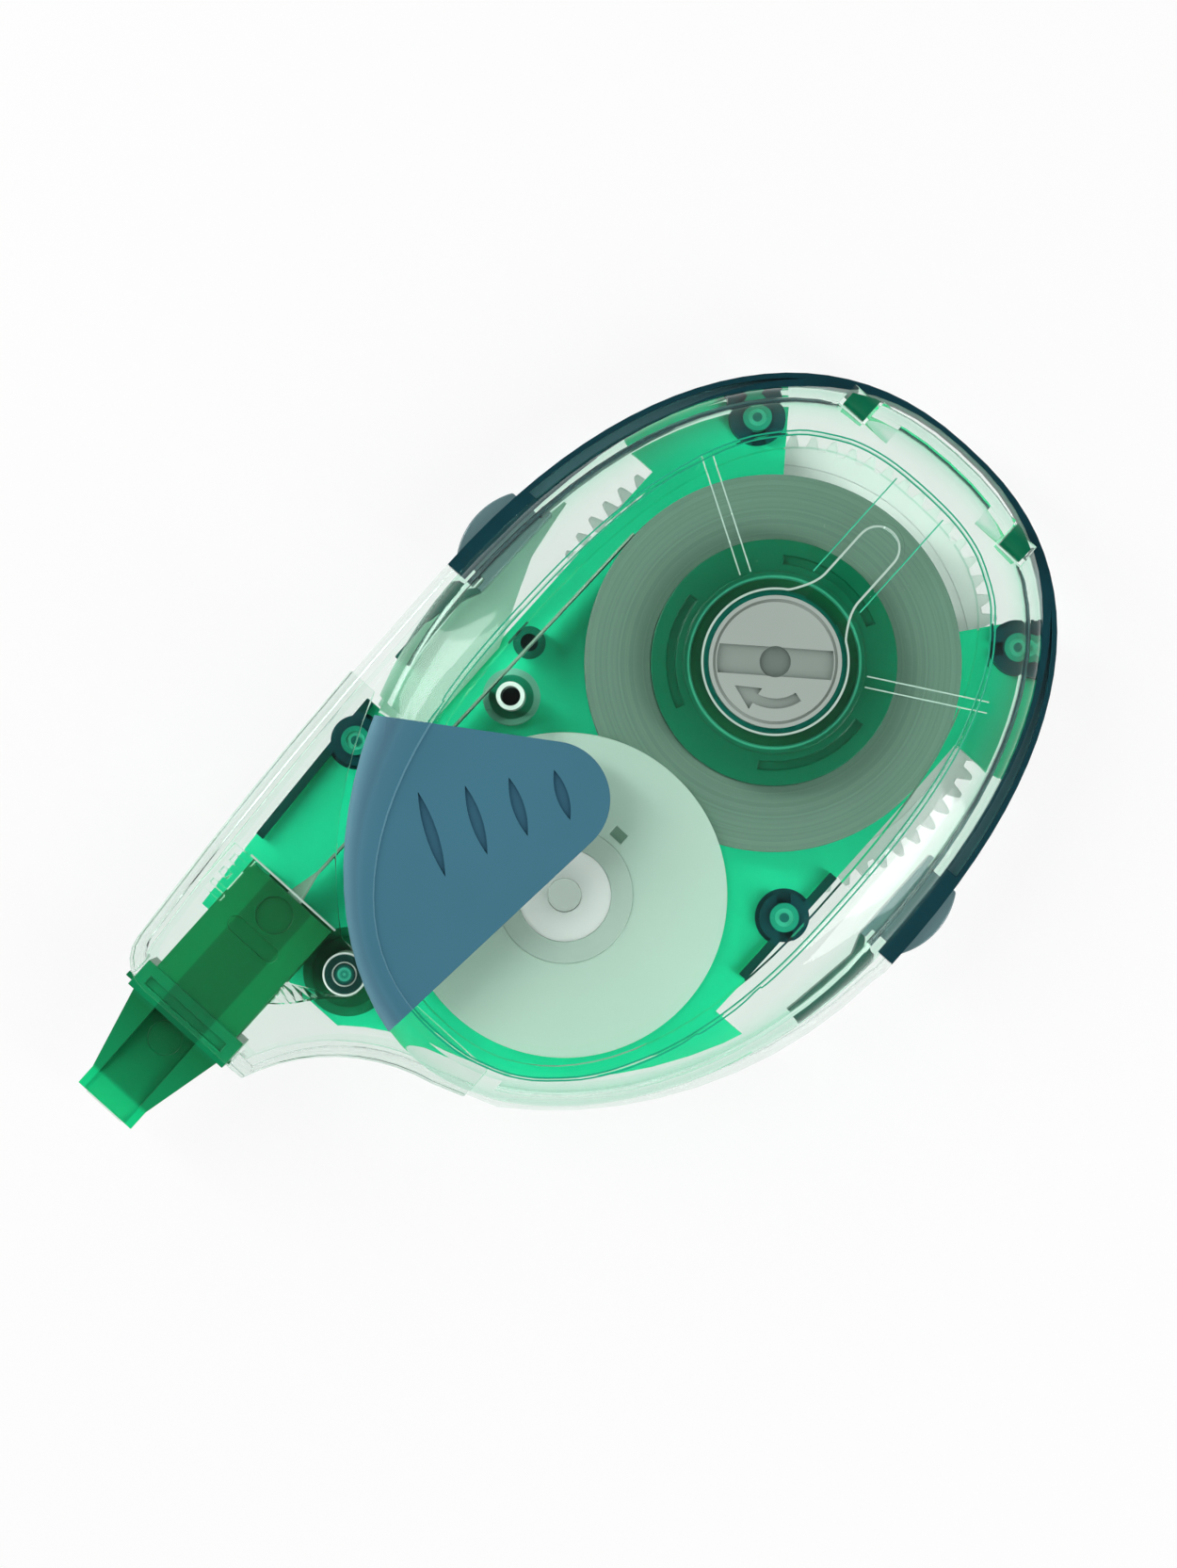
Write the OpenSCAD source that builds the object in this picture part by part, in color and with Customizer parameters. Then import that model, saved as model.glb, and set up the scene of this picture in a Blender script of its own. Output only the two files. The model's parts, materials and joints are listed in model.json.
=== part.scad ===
// Refillable correction tape dispenser, lying on its back with the front face up.
// X runs from the applicator tip (-X) to the hinge end, Y across, Z out of the front.
// The origin is on the supply reel's axis, on the flat resting face.

/* [Tape] */
// Width of the correction tape and of its carrier film
tape_w = 4.2; // [4:0.1:4.6]
// Thickness of the tape and carrier ribbons
tape_t = 0.2; // [0.15:0.05:0.3]
// Radius of the full supply roll
roll_r = 17.1; // [14:0.1:17.4]
// Radius of the spent carrier wound on the take-up reel
winding_r = 7.1; // [6.8:0.1:9]

/* [Gears] */
// Module of both gears
gear_module = 0.6; // [0.59:0.005:0.605]
// Teeth on the drive gear behind the supply reel
drive_teeth = 70; // [68:2:70]
// Teeth on the take-up gear
takeup_teeth = 24; // [22:2:26]
// Face width of both gears
gear_t = 2.2; // [1.8:0.1:2.8]
// Play between meshed flanks
backlash = 0.2; // [0.15:0.01:0.3]

/* [Reels] */
// Radius of the supply spindle on the back shell
spindle_r = 2; // [1.6:0.1:2.4]
// Outer radius of the drive hub inside the supply core
hub_r = 5; // [4.6:0.1:5.4]
// Outer radius of the supply core
core_r = 11.1; // [10.4:0.1:12]
// Wall of the supply core
core_wall = 1.2; // [0.9:0.1:1.5]
// Radius of the flange under the tape roll
core_flange_r = 13; // [12.4:0.1:13.2]
// Radius of the take-up spindle
takeup_spindle_r = 1.5; // [1.2:0.1:1.8]
// Outer radius of the take-up hub
takeup_hub_r = 6.2; // [5.8:0.1:6.4]
// Radius of the two take-up flanges
takeup_flange_r = 14.7; // [13:0.1:14.8]
// Thickness of the reel flanges
flange_t = 0.6; // [0.5:0.1:0.9]
// Radius of the slack knob
knob_r = 5.95; // [5.6:0.05:6.2]
// Radius of the guide roller
roller_r = 2; // [1.8:0.1:2.3]
// Radius of the pin that carries the guide roller
roller_pin_r = 0.95; // [0.8:0.05:1.1]

/* [Case] */
// Rear end of the case, from the middle of its oval
case_rear = 40.6; // [40:0.1:42]
// Upper half width of the case
case_up = 27.7; // [27:0.1:28.5]
// Lower half width of the case
case_down = 26.7; // [26.2:0.1:27.5]
// Front end of the nose, from the supply axis
nose_reach = 59.9; // [58.5:0.1:61]
// Floor thickness of the back shell
floor_t = 1.6; // [1.2:0.1:2]
// Side wall thickness of the back shell and the nose cover
wall = 1.4; // [1.1:0.1:1.6]
// Roof thickness of the lid
lid_t = 1.4; // [1.1:0.1:1.8]
// Skirt thickness of the lid
lid_wall = 1.1; // [0.9:0.1:1.3]
// Height of the dark rim band
band_h = 4; // [3.6:0.1:4.6]
// Thickness of the grip pad
pad_t = 1.2; // [0.9:0.1:1.6]
// Radius of the lid's hinge stubs
stub_r = 0.8; // [0.7:0.1:0.9]

/* [Cartridge] */
// Thickness of the cartridge frame plate
plate_t = 1.2; // [1:0.1:1.5]
// Reach of the blade edge from the supply axis
tip_reach = 70.5; // [69:0.1:72]
// Distance of the applicator's centre line from the upper edge of the case
head_inset = 9.75; // [9.5:0.05:10]
// Thickness of the roof over the applicator's tape channel
head_roof_t = 0.9; // [0.8:0.1:1.1]
// Width of the blade
blade_w = 6.4; // [6:0.1:7]
// Thickness of the blade at its root
blade_t = 1.6; // [1.4:0.1:2]
// Thickness of the blade's edge
edge_t = 0.5; // [0.4:0.1:0.7]

/* [Clearances] */
// Radial clearance of a pin or shaft that turns in a bore
run_gap = 0.05; // [0.03:0.01:0.08]
// Side clearance between pieces that move past each other
side_gap = 0.3; // [0.25:0.05:0.4]
// Travel of the lid release buttons
press_travel = 1.2; // [0.8:0.1:1.4]
// Seam left where two fixed mouldings meet
seam = 0.06; // [0.04:0.01:0.1]

/* [Hidden] */
$fn = 64;
far = 200;

// Heights, stacked from the resting face to the top of the knob
gear_z = floor_t + 0.7;
gear_top = gear_z + gear_t;
plate_z = gear_top + 0.7;
plate_top = plate_z + plate_t;
flange_z = plate_top + 0.5;
tape_z = flange_z + flange_t + 0.4;
tape_mid = tape_z + tape_w / 2;
tape_top = tape_z + tape_w;
upper_flange_z = tape_top + 0.4;
core_top = upper_flange_z + flange_t + 1.5;
roof_z = core_top + 1;
roof_top = roof_z + lid_t;
knob_top = roof_top + 0.3;
band_z = plate_top;
band_top = band_z + band_h;
skirt_z = band_top + 0.2;
channel_top = tape_top + 0.3;
head_top = channel_top + head_roof_t;
nose_z = head_top + 0.2;
nose_t = 1;
nose_top = nose_z + nose_t;

// Gear train
drive_r = gear_module * drive_teeth / 2;
takeup_r = gear_module * takeup_teeth / 2;
takeup_x = -(drive_r + takeup_r);
pressure_angle = 20;

// Case outline: two superellipse quarters behind, a bowed top edge, a hollow under the nose
case_mid = [-14, 0.3];
belly_r = 41.7;
belly_mid = [-12.5, 15.5];
hollow_r = 18;
upper_y = case_mid[1] + case_up;
hollow_mid = [-66.4, upper_y - 34.2];
bow = 0.00105;
nose_x = -nose_reach;
nose_round = 3.5;
nose_corner_x = nose_x + nose_round;
nose_corner = [nose_corner_x, upper_y - bow * pow(nose_corner_x - case_mid[0], 2) - 1.004 * nose_round];
case_oval = [case_rear, case_rear, case_up, case_down, 2.27, 2.27, 2.4];
lid_edge = [case_rear - 1.2, 34.7, case_up - 1.3, case_down - 1.5, 2.27, 1.85, 2.4];
lid_plateau = [case_rear - 6.3, 31, case_up - 7.9, case_down - 7.5, 2.65, 2.25, 2.65];
band_inner = [case_rear - 0.45, case_rear - 0.45, case_up - 2.5, case_down - 2.2, 2.27, 2.27, 2.4];
band_end_x = -13;
oval_steps = 80;

// Lid hinge
hinge_x = case_mid[0] + case_rear - 3.6;
hinge_z = band_top + 1.6;
hinge_half = 8;
barrel_r = stub_r + 0.55;
lug_w = 2.4;
bracket_t = 0.6;
bracket_inset = 0.5;
bracket_h = 2.2;
notch_half = hinge_half + lug_w + 2 * side_gap;

// Knob hole and keyhole slot of the lid
hole_r = knob_r + 0.45;
slot_half = 1.85;
slot_end = 15.5;

// Where the cartridge sits: locating pins as [x, y, boss radius, shoulder radius]
pin_r = 1;
frame_pins = [
    [-30.6, upper_y - 4.4, 2.3, 1.5],
    [-16.4, -16.4, 2.3, 1.3],
    [16.1, 16.2, 2.6, pin_r],
    [16.4, -15.9, 2.6, pin_r]];
post_at = [-18.1, 15.7];
stop_at = [-13.3, 17.8];
low_post_top = tape_z - 0.3;
frame_inset = 2.4;
guard_t = 0.4;
guard_y = upper_y - 8.4;
shank_end = -44.8;
collar_front = -60.5;
collar_back = -57.6;
slab_end = collar_back + 2;
collar_w = 11.4;
head_y = upper_y - head_inset;
shank_w = 9.6;
shank_low = head_y - shank_w / 2;
shank_high = head_y + shank_w / 2;
roller_at = [-46.9, shank_low - 3.45];
collar_low = head_y - collar_w / 2;
collar_high = head_y + collar_w / 2;
rail_w = 1.9;
cover_end = -44.5;
clip_x = -49.3;
clip_y = upper_y - 2.8;

// Release buttons
button_x = -8;
button_half = 3.8;
button_rise = press_travel - 0.1;
button_z = band_z + 0.9;
button_h = band_h - 1.8;

function flat3(p, z) = [p[0], p[1], z];
function unit(v) = v / norm(v);
function polar(r, a) = [r * cos(a), r * sin(a)];
function signed_pow(v, e) = sign(v) * pow(abs(v), e);
function smooth(f) = let (c = max(0, min(1, f))) c * c * (3 - 2 * c);

// An oval is [rear, front, up, down, rear power, front power, lower rear power]
function oval_point(o, a) =
    let (across = sin(a) >= 0 ? o[2] : o[3],
         along = cos(a) >= 0 ? o[0] : o[1],
         power = cos(a) < 0 ? o[5] : sin(a) >= 0 ? o[4] : o[6])
    case_mid + [along * signed_pow(cos(a), 2 / power), across * signed_pow(sin(a), 2 / power)];
function oval(o) = [for (i = [0:oval_steps - 1]) oval_point(o, 360 * i / oval_steps)];
function grow(o, d) = o + [d, d, d, d, 0, 0, 0];
function mix(a, b, f) = a * (1 - f) + b * f;

// The case outline runs along the top edge, down the nose, back along the belly and round the rear
hollow_top = acos((nose_x - hollow_mid[0]) / hollow_r);
hollow_end = 12;
belly_start = 215;
belly_end = 266;
case_outline = concat(
    [for (i = [0:8]) let (x = mix(case_mid[0], nose_corner[0], i / 8))
        [x, upper_y - bow * pow(x - case_mid[0], 2)]],
    [for (a = [95:17:180]) nose_corner + polar(nose_round, a)],
    [for (i = [0:10]) hollow_mid + polar(hollow_r, mix(hollow_top, hollow_end, i / 10))],
    [for (i = [0:10]) belly_mid + polar(belly_r, mix(belly_start, belly_end, i / 10))],
    [for (i = [0:47]) oval_point(case_oval, -90 + 3.75 * i)]);

// Moves every side of a closed outline inwards by d
function inset(points, d) =
    let (n = len(points))
    [for (i = [0:n - 1])
        let (before = unit(points[i] - points[(i + n - 1) % n]),
             after = unit(points[(i + 1) % n] - points[i]),
             side = [-before[1], before[0]],
             middle = unit(side + [-after[1], after[0]]))
        points[i] + middle * d / (middle * side)];

// A closed solid through a list of rings that all have the same number of points
module skin(rings) {
    m = len(rings[0]);
    last = len(rings) - 1;
    points = [for (ring = rings) each ring];
    sides = [for (k = [0:last - 1], i = [0:m - 1])
        let (a = k * m + i, b = k * m + (i + 1) % m)
        each [[a, a + m, b + m], [a, b + m, b]]];
    caps = [[for (i = [0:m - 1]) i], [for (i = [0:m - 1]) last * m + m - 1 - i]];
    polyhedron(points, concat(sides, caps));
}

module prism(points, z0, z1) {
    translate([0, 0, z0])
        linear_extrude(z1 - z0)
            polygon(points);
}

module block(x0, x1, y0, y1, z0, z1) {
    translate([x0, y0, z0])
        cube([x1 - x0, y1 - y0, z1 - z0]);
}

module post(at, r, z0, z1) {
    translate([at[0], at[1], z0])
        cylinder(r = r, h = z1 - z0);
}

module tube(at, outer, inner, z0, z1) {
    translate([at[0], at[1], z0])
        linear_extrude(z1 - z0)
            difference() {
                circle(outer);
                circle(inner);
            }
}

// A pie slice of half angle up to 80 degrees, pointing along the given angle
module wedge(r, angle, half) {
    polygon([[0, 0], polar(2 * r, angle - half), polar(2 * r, angle), polar(2 * r, angle + half)]);
}

// Back shell
module shell_tray() {
    difference() {
        skin([
            [for (p = inset(case_outline, 1)) flat3(p, 0)],
            [for (p = inset(case_outline, 0.3)) flat3(p, 0.3)],
            [for (p = case_outline) flat3(p, 1)],
            [for (p = case_outline) flat3(p, band_top)]]);
        prism(inset(case_outline, wall), floor_t, far);
        block(band_end_x, far, -far, far, band_z, far);
        block(-far, collar_back + 1, collar_low - side_gap, collar_high + side_gap, plate_z - side_gap, far);
    }
}

module back_shell() {
    color("#e4eee8", 0.5)
    union() {
        shell_tray();
        post([0, 0], spindle_r, floor_t / 2, upper_flange_z);
        post([0, 0], spindle_r + 1.5, floor_t / 2, gear_z - 0.1);
        post([takeup_x, 0], takeup_spindle_r, floor_t / 2, tape_top);
        post([takeup_x, 0], takeup_spindle_r + 1.2, floor_t / 2, gear_z - 0.1);
        for (p = frame_pins) {
            post(p, pin_r, floor_t / 2, plate_top + 0.6);
            post(p, p[3], floor_t / 2, plate_z);
        }
        for (x = [collar_back + 2.6, shank_end - 2])
            block(x - 0.6, x + 0.6, shank_low + 1, shank_high - 1, floor_t / 2, plate_z);
    }
}

// Hinge bracket: two lugs joined by a thin arc that stands on the back shell's rear wall
module hinge_bracket() {
    reach = hinge_half + side_gap + lug_w;
    color("#0f8a58")
    difference() {
        intersection() {
            union() {
                for (s = [-1, 1])
                    translate([hinge_x, case_mid[1] + s * (reach - lug_w / 2) + lug_w / 2, hinge_z])
                        rotate([90, 0, 0])
                            linear_extrude(lug_w) {
                                circle(barrel_r);
                                translate([-0.8 * barrel_r, band_z - hinge_z])
                                    square([1.8 * barrel_r, hinge_z - band_z]);
                            }
                difference() {
                    block(0, far, case_mid[1] - reach, case_mid[1] + reach, band_z, band_z + bracket_h);
                    prism(oval(grow(band_inner, -bracket_inset - bracket_t)), 0, far);
                }
            }
            prism(oval(grow(band_inner, -bracket_inset)), band_z, far);
        }
        translate([hinge_x, -far / 2, hinge_z])
            rotate([-90, 0, 0])
                cylinder(r = stub_r + run_gap, h = far);
    }
}

// Nose cover: a roof with a wall on the outer side only, ending in a straight edge under the lid
module nose_plan() {
    intersection() {
        polygon(case_outline);
        union() {
            translate([-far, -far])
                square([far + cover_end, 2 * far]);
            difference() {
                translate([-far, 5])
                    square([far - 26, far]);
                polygon(oval(grow(lid_edge, side_gap)));
            }
        }
        translate([-far, -5.4])
            square([2 * far, far]);
    }
}

module nose_cover() {
    color("#e4eee8", 0.5)
    difference() {
        union() {
            nose_clip();
            translate([0, 0, nose_z])
                linear_extrude(nose_t)
                    nose_plan();
            translate([0, 0, band_top + seam])
                linear_extrude(nose_z - band_top - seam)
                    difference() {
                        nose_plan();
                        polygon(inset(case_outline, wall));
                    }
        }
        block(-far, collar_back + 1, collar_low - side_gap, collar_high + side_gap, 0, nose_z);
    }
}

// A small clip moulded on the nose roof: two legs on a bar, with a square tooth between them
module nose_clip() {
    bar_t = 0.7;
    z0 = nose_top - nose_t / 2;
    z1 = nose_top + 0.5;
    block(clip_x, cover_end, clip_y - bar_t, clip_y, z0, z1);
    for (x = [clip_x, cover_end - bar_t])
        block(x, x + bar_t, clip_y - 2.5, clip_y, z0, z1);
    for (x = [clip_x + 1.2, clip_x + 2.6])
        block(x, x + bar_t, clip_y - 2.3, clip_y, z0, z1);
    block(clip_x + 1.2, clip_x + 2.6 + bar_t, clip_y - 2.3, clip_y - 2.3 + bar_t, z0, z1);
}

// Rim band: a channel between the back shell's wall and the lid's edge
module rim_band() {
    color("#123f49")
    difference() {
        translate([0, 0, band_z])
            linear_extrude(band_h)
                difference() {
                    polygon(case_outline);
                    polygon(oval(band_inner));
                    translate([-2 * far + band_end_x, -far])
                        square(2 * far);
                }
        translate([0, 0, band_top - 0.8])
            linear_extrude(2)
                difference() {
                    polygon(inset(case_outline, 0.5));
                    polygon(oval(grow(band_inner, 0.7)));
                    translate([-2 * far + button_x + button_half + 1, -far])
                        square(2 * far);
                }
        block(button_x - button_half - side_gap, button_x + button_half + side_gap, -far, far,
            button_z - side_gap / 2, button_z + button_h + side_gap / 2);
    }
}

// Cartridge frame
module frame_plan() {
    intersection() {
        polygon(inset(case_outline, frame_inset));
        union() {
            translate([-51.2, -far / 2])
                square([51.2 - 27, far]);
            translate([-28, -17.6])
                square([36, 37.6]);
            translate([collar_back, shank_low])
                square([shank_end - collar_back, shank_w]);
            for (side = [[1, 58], [-1, 302]])
                intersection() {
                    circle(r = drive_r + 3.4);
                    wedge(far, side[1], 20);
                    translate([6, -far / 2])
                        square(far);
                }
        }
    }
}

boss_h = 1.2;
cap_r = 1.35;
cap_h = 1.6;

module frame_ribs() {
    rib_t = 0.8;
    linear_extrude(boss_h)
        intersection() {
            difference() {
                polygon(inset(case_outline, frame_inset));
                polygon(inset(case_outline, frame_inset + rib_t));
            }
            translate([-43, 10])
                square([16, 30]);
        }
    translate([-23, -17.6, 0])
        cube([12.5, rib_t, boss_h]);
}

module cartridge_frame() {
    color("#1fae72")
    difference() {
        union() {
            translate([0, 0, plate_z])
                linear_extrude(plate_t)
                    frame_plan();
            translate([0, 0, plate_top])
                frame_ribs();
            intersection() {
                for (p = frame_pins) {
                    post(p, p[2], plate_z, plate_top + boss_h);
                    post(p, cap_r, plate_z, plate_top + cap_h);
                }
                union() {
                    prism(oval(grow(band_inner, -side_gap)), 0, far);
                    block(-far, band_end_x, -far, far, 0, far);
                }
            }
            post(roller_at, roller_pin_r, plate_z, tape_top);
            post(roller_at, roller_r + 1.2, plate_z, plate_top + side_gap);
            post(post_at, 1.3, plate_z, tape_top);
            difference() {
                tube(post_at, 2.6, 2, plate_top - 0.1, low_post_top);
                block(post_at[0], far, -far, far, 0, far);
            }
            post(stop_at, 1.5, plate_z, low_post_top);
        }
        post([0, 0], hub_r + 4.2, 0, far);
        post([takeup_x, 0], takeup_hub_r - 0.7, 0, plate_top);
        post(post_at, 0.9, plate_top, far);
        post(stop_at, 0.8, plate_top, far);
        for (p = frame_pins) {
            post(p, pin_r + run_gap, 0, plate_top + 0.8);
            tube(p, 0.85, 0.45, plate_top + cap_h - 0.25, far);
            translate([p[0], p[1], plate_top])
                rotate(atan2(-p[1], -p[0]))
                    block(cap_r + 0.1, far, -0.6, 0.6, 0, boss_h + 0.1);
        }
    }
}

// Tape guard: a thin frosted crescent that lies on the frame plate and fills the gap to the rim
module tape_guard() {
    color("#a8cdb9", 0.7)
    translate([0, 0, plate_top])
        linear_extrude(guard_t)
            intersection() {
                polygon([
                    [-26.8, guard_y],
                    [-15.5, guard_y],
                    [-7.3, guard_y + 3.4],
                    [-1.5, guard_y + 4.4],
                    [-1.5, far],
                    [-26.8, far]]);
                polygon(inset(case_outline, wall + side_gap));
                polygon(oval(grow(band_inner, -side_gap)));
            }
}

// Applicator head: blade, cheeks, collar and the open tape channel behind it
blade_half = blade_w / 2;
cheek_in = blade_w / 2 - 0.75;
shank_top = head_top - 0.3;
pill_x = shank_end - 5.2;
pill_r = 0.75;
pill_half = 2.05;

module blade() {
    translate([0, head_y + blade_half, 0])
        rotate([90, 0, 0])
            linear_extrude(blade_w)
                polygon([
                    [-tip_reach, tape_mid - edge_t / 2],
                    [collar_front, tape_mid - blade_t / 2],
                    [slab_end, tape_mid - blade_t / 2],
                    [slab_end, tape_mid + blade_t / 2],
                    [collar_front, tape_mid + blade_t / 2],
                    [-tip_reach, tape_mid + edge_t / 2]]);
}

module cheeks() {
    cheek_start = -tip_reach + 2;
    intersection() {
        translate([0, head_y, 0])
            for (s = [0, 1])
                mirror([0, s, 0])
                    prism([
                        [cheek_start, cheek_in],
                        [collar_front + 0.2, cheek_in],
                        [collar_front + 0.2, collar_w / 2 - 0.6],
                        [cheek_start, blade_half]], 0, far);
        translate([0, far / 2, 0])
            rotate([90, 0, 0])
                linear_extrude(far)
                    polygon([
                        [cheek_start, tape_mid - edge_t],
                        [collar_front + 0.2, plate_top + 0.4],
                        [collar_front + 0.2, head_top - 0.4],
                        [cheek_start, tape_mid + edge_t]]);
    }
}

module applicator_head() {
    color("#0a8a54")
    difference() {
        union() {
            blade();
            cheeks();
            difference() {
                block(collar_front, collar_back, collar_low, collar_high, plate_top, head_top);
                block(collar_front - 1, collar_back + 1, head_y - cheek_in, head_y + cheek_in,
                    plate_top + 0.8, channel_top);
            }
            block(collar_front, nose_x - 0.1, collar_low - 0.9, collar_high + 0.9,
                plate_top + 0.6, plate_top + 2.4);
            block(collar_back, shank_end, shank_high - rail_w, shank_high, plate_top, shank_top);
            block(collar_back, shank_end, shank_low, shank_high, channel_top, shank_top);
            block(collar_back, shank_end, shank_low, shank_low + rail_w, plate_top, plate_top + 1.6);
            block(shank_end - 1.4, shank_end, shank_low, shank_high, plate_top, plate_top + 1);
        }
        post([collar_front - 1.7, head_y], 1.6, tape_mid + blade_t / 2 - 0.35, far);
        post([shank_end - 2.3, head_y], 1.7, shank_top - 0.25, far);
        block(pill_x - pill_r, pill_x + pill_r, head_y - pill_half, head_y + pill_half,
            shank_top - 0.2, far);
        for (s = [-1, 1])
            post([pill_x, head_y + s * pill_half], pill_r, shank_top - 0.2, far);
        block(collar_front + 1, collar_front + 1.9, head_y - 4.6, head_y + 4.6, head_top - 0.5, far);
    }
}

// Ribbons: a station is [centre, half width vector]
function ribbon_ring(stations, k) =
    let (last = len(stations) - 1,
         ahead = stations[min(k + 1, last)][0],
         behind = stations[max(k - 1, 0)][0],
         w = stations[k][1],
         n = unit(cross(ahead - behind, w)) * tape_t / 2,
         c = stations[k][0])
    [c + w - n, c + w + n, c - w + n, c - w - n];

module ribbon(stations) {
    skin([for (k = [0:len(stations) - 1]) ribbon_ring(stations, k)]);
}

// Half width vector that turns from upright to flat
function turned(f, upright, level) = (upright * cos(90 * f) + level * sin(90 * f)) * tape_w / 2;

lay_gap = 0.06;
feed_r = roll_r + tape_t / 2 + lay_gap;
feed_goal = [collar_back, head_y];
feed_angle = atan2(feed_goal[1], feed_goal[0]) - acos(feed_r / norm(feed_goal));
feed_start = polar(feed_r, feed_angle);
feed_lift = blade_t / 2 + tape_t / 2 + lay_gap;
edge_lift = edge_t / 2 + tape_t / 2 + lay_gap;

module tape_feed_run() {
    steps = 22;
    color("white")
    ribbon(concat(
        [for (i = [0:steps])
            let (f = i / steps, g = smooth((f - 0.7) / 0.25), at = feed_start * (1 - f) + feed_goal * f)
            [flat3(at, tape_mid - feed_lift * g), turned(g, [0, 0, 1], [0, -1, 0])]],
        [[[collar_front, head_y, tape_mid - feed_lift], [0, -tape_w / 2, 0]],
         [[-tip_reach - lay_gap, head_y, tape_mid - edge_lift], [0, -tape_w / 2, 0]]]));
}

return_r = roller_r + tape_t / 2 + lay_gap;
wound_r = winding_r + tape_t / 2 + lay_gap;
reel_vector = [takeup_x, 0] - roller_at;
return_angle = atan2(reel_vector[1], reel_vector[0]) - acos((return_r + wound_r) / norm(reel_vector));
leave_at = [slab_end, head_y];
leave_vector = leave_at - roller_at;
meet_angle = atan2(leave_vector[1], leave_vector[0]) + acos(return_r / norm(leave_vector));

module carrier_return_run() {
    steps = 14;
    meet = roller_at + polar(return_r, meet_angle);
    color("#dfe6e2", 0.6)
    ribbon(concat(
        [[[-tip_reach - lay_gap, head_y, tape_mid + edge_lift], [0, -tape_w / 2, 0]],
         [[collar_front, head_y, tape_mid + feed_lift], [0, -tape_w / 2, 0]]],
        [for (i = [0:steps])
            let (f = i / steps, g = smooth((f - 0.05) / 0.95), at = leave_at * (1 - f) + meet * f)
            [flat3(at, tape_mid + feed_lift * (1 - g)), turned(1 - g, [0, 0, 1], [0, -1, 0])]],
        [for (i = [1:4])
            let (a = mix(meet_angle, return_angle + 360, i / 4))
            [flat3(roller_at + polar(return_r, a), tape_mid), [0, 0, tape_w / 2]]],
        [[flat3([takeup_x, 0] - polar(wound_r, return_angle), tape_mid), [0, 0, tape_w / 2]]]));
}

module guide_roller() {
    color("white")
    tube(roller_at, roller_r, roller_pin_r + run_gap, plate_top + side_gap + 0.1, tape_top - 0.2);
}

// Front lid: a domed oval shell with a flat roof
bead_h = 0.25;
dome_h = 3.7;
dome_from = 0.08;
dome_to = 0.96;
lid_rings = concat(
    [[skirt_z, 0]],
    [for (t = [0:15:90]) [roof_top - dome_h * (1 - sin(t)), mix(dome_to, dome_from, cos(t))]],
    [[roof_top, 1], [roof_top - bead_h, 1.03]]);

module lid_body(up, out) {
    skin([for (r = lid_rings)
        [for (p = oval(grow(mix(lid_edge, lid_plateau, r[1]), out))) flat3(p, r[0] + up)]]);
}

// The knob hole with its slot, widened all round
module keyhole(wider, z0, z1) {
    half = slot_half + wider;
    post([0, 0], hole_r + wider, z0, z1);
    block(0, slot_end - slot_half, -half, half, z0, z1);
    post([slot_end - slot_half, 0], half, z0, z1);
}

module lid_openings() {
    keyhole(0, 0, far);
    block(-far, -26, -7, far, 0, nose_top + 0.2);
    for (s = [-1, 1]) {
        y = case_mid[1] + s * (hinge_half + notch_half) / 2;
        half = (notch_half - hinge_half) / 2;
        block(hinge_x - barrel_r - 0.5, far, y - half, y + half, 0, far);
    }
}

module lid_hinge() {
    barrel_w = 2.6;
    inner = hinge_half - barrel_w;
    for (s = [0, 1])
        translate([hinge_x, case_mid[1], hinge_z])
            mirror([0, s, 0])
                translate([0, inner, 0])
                    rotate([-90, 0, 0]) {
                        cylinder(r = barrel_r, h = barrel_w);
                        cylinder(r = stub_r, h = notch_half - inner);
                    }
}

module front_lid() {
    rib_from = hole_r + 2;
    rib_to = 20;
    color("#e9f1ec", 0.4)
    union() {
        difference() {
            union() {
                difference() {
                    lid_body(0, 0);
                    lid_body(-lid_t, -lid_wall);
                }
                keyhole(0.6, roof_top - lid_t / 2, roof_top + 0.2);
                for (a = [-60, 60])
                    rotate(a)
                        block(rib_from, rib_to, -0.5, 0.5, roof_z - 0.6, roof_z + 0.2);
                for (y = [-4.6, 4.6])
                    block(rib_from, rib_to - 1, y - 0.3, y + 0.3, roof_z - 0.5, roof_z + 0.2);
            }
            lid_openings();
        }
        lid_hinge();
    }
}

// Grip pad: follows the lid's roof and shoulder, with four lens-shaped grooves
pad_corner = [-22.5, 6.6];
pad_corner_r = 5.2;
groove_w = 1.1;
groove_depth = 0.6;
grooves = [[-32, 12.5, 8], [-28.4, 10.4, 6.5], [-25, 8.4, 5.5], [-21.6, 6.2, 4.7]];
groove_angle = 60;

module pad_plan() {
    intersection() {
        polygon(oval(grow(lid_edge, -0.5)));
        union() {
            translate(pad_corner)
                circle(pad_corner_r);
            polygon([
                pad_corner + polar(pad_corner_r, 35),
                [-38.6, 40],
                [-60, 40],
                [-60, 4.6],
                pad_corner + polar(pad_corner_r, 265)]);
        }
    }
}

// A lens shape between two arcs
module groove_plan(length) {
    half = groove_w / 2;
    arc_r = (length * length / 4 + half * half) / (2 * half);
    intersection() {
        translate([arc_r - half, 0])
            circle(arc_r);
        translate([half - arc_r, 0])
            circle(arc_r);
    }
}

module grip_pad() {
    seat = 0.02;
    color("#41728a")
    difference() {
        intersection() {
            lid_body(pad_t, 0);
            translate([0, 0, nose_top + 0.3])
                linear_extrude(far)
                    pad_plan();
        }
        lid_body(seat, 0);
        for (g = grooves)
            translate([g[0], g[1], roof_top + pad_t - groove_depth])
                rotate(groove_angle - 90)
                    linear_extrude(far)
                        groove_plan(g[2]);
    }
}

// Gears
function involute(a) = tan(a) * 180 / PI - a;
function tooth_half(teeth, r) =
    let (pitch = gear_module * teeth / 2, base = pitch * cos(pressure_angle))
    90 / teeth - backlash / (4 * pitch) * 180 / PI
        + involute(pressure_angle) - involute(acos(min(1, base / r)));

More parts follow.
